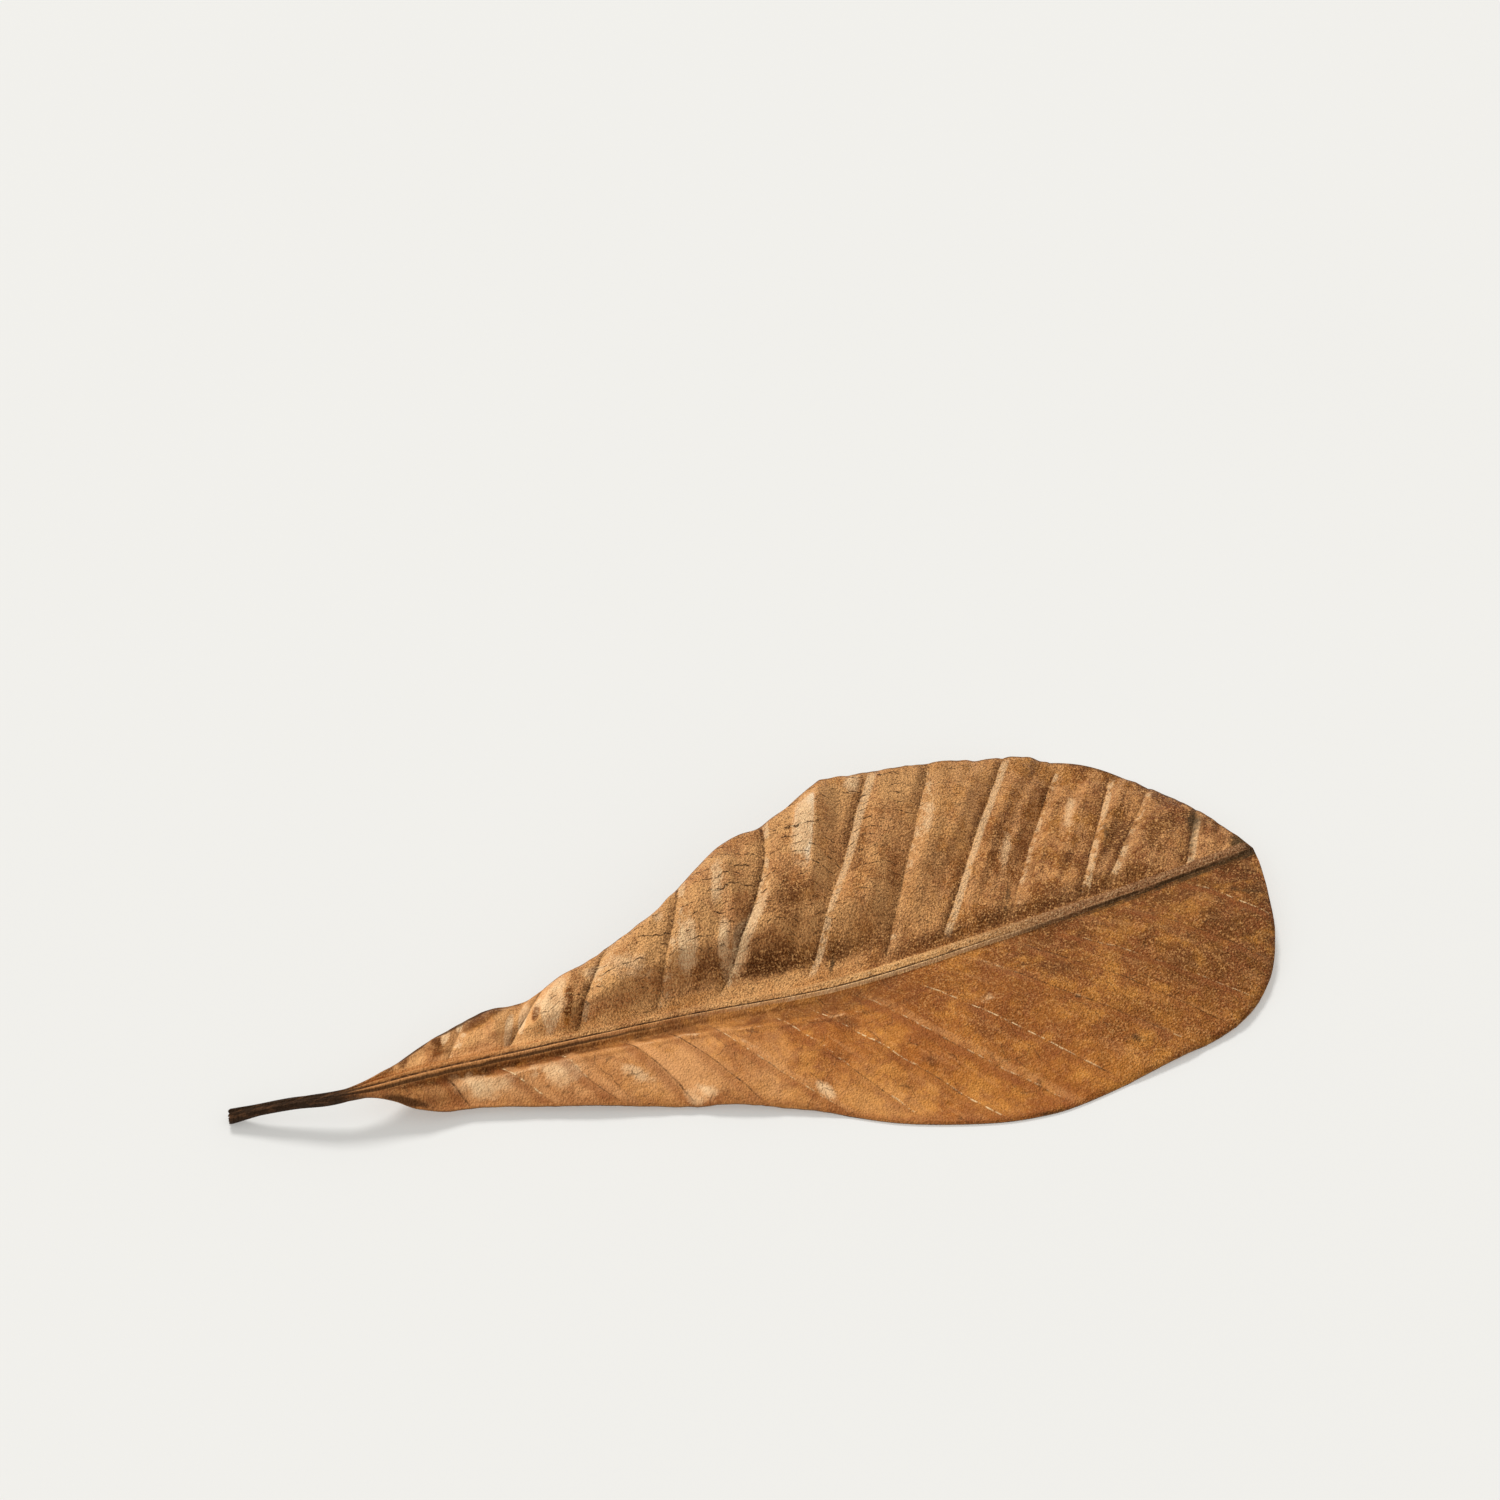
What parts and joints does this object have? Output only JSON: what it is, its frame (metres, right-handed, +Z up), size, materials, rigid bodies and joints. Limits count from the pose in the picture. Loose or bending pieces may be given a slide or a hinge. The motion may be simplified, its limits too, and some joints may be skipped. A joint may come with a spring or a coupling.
{
  "type": "dried magnolia leaf",
  "caption": "Dried leathery leaf, widest near its blunt tip, with a channelled midrib and a short stalk; one half lies low, the other is curled up in waves between its side veins.",
  "frame": {"origin": "middle of the leaf's bounding box, on the surface that it lies on", "axes": "+X along the leaf from the stalk to the tip, +Y towards the half that is curled up, +Z up from the surface"},
  "size_m": [0.1942, 0.0804, 0.0151],
  "materials": {
    "dried_leaf": "orange tan dried leaf, leathery and slightly glossy on the upper face, mottled with grey brown"
  },
  "bodies": {
    "root": {"leaf": "dried_leaf"}
  },
  "joints": []
}
